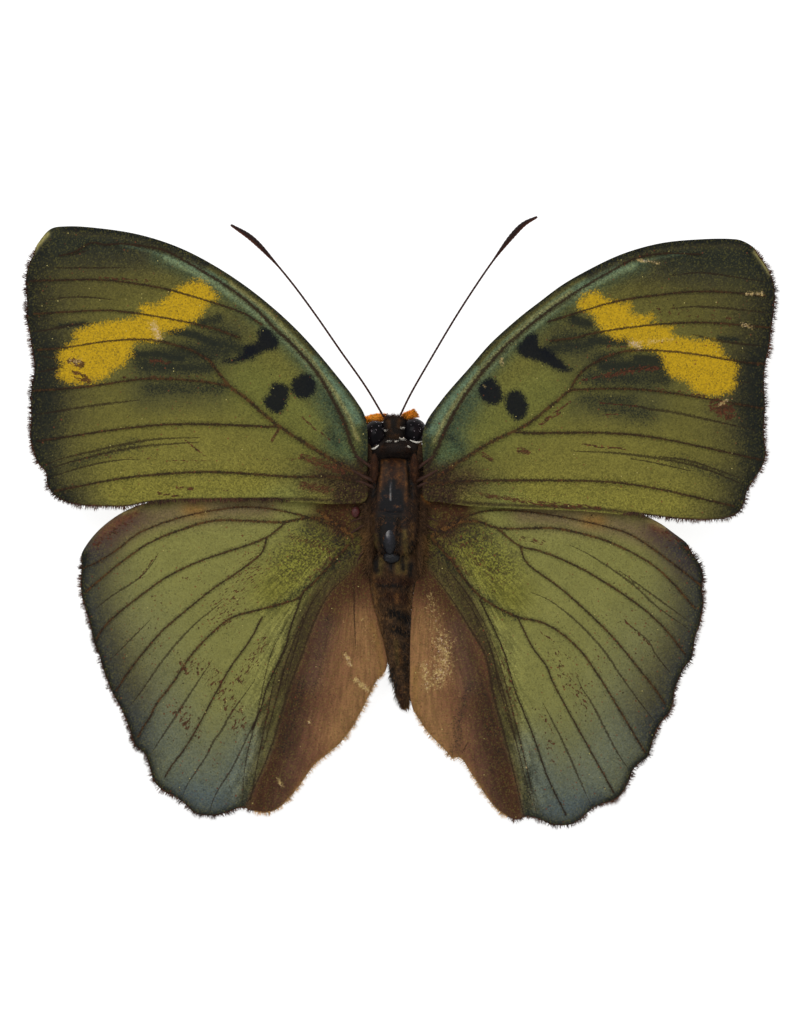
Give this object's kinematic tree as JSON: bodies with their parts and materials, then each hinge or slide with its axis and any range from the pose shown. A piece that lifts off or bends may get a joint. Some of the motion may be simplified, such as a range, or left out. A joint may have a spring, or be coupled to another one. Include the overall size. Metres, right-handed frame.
{
  "type": "spread butterfly specimen",
  "caption": "Dried butterfly with its wings spread flat: veined olive forewings with a yellow band, olive-brown hindwings, hairy body, clubbed antennae and folded legs.",
  "frame": {"origin": "on the flat underside of the thorax, below the middle of the back", "axes": "+X towards the wing tip on the right of the picture, +Y towards the head, +Z out of the back"},
  "size_m": [0.0755, 0.0614, 0.0062],
  "materials": {
    "forewing scales": "matte",
    "hindwing scales": "matte",
    "brown hair": "matte",
    "thorax shell": "satin",
    "dark shell": "satin",
    "eye": "gloss",
    "palp hair": "matte"
  },
  "bodies": {
    "root": {"forewing_left": "forewing scales", "forewing_right": "forewing scales", "hindwing_left": "hindwing scales", "hindwing_right": "hindwing scales", "thorax": "thorax shell", "prothorax": "brown hair", "head": "brown hair", "abdomen": "brown hair", "tegula_left": "thorax shell", "tegula_right": "thorax shell", "eye_left": "eye", "eye_right": "eye", "antenna_left": "dark shell", "antenna_right": "dark shell", "palp_left": "palp hair", "palp_right": "palp hair", "proboscis": "dark shell", "foreleg_left": "dark shell", "foreleg_right": "dark shell", "midleg_left": "dark shell", "midleg_right": "dark shell", "hindleg_left": "dark shell", "hindleg_right": "dark shell"}
  },
  "joints": []
}
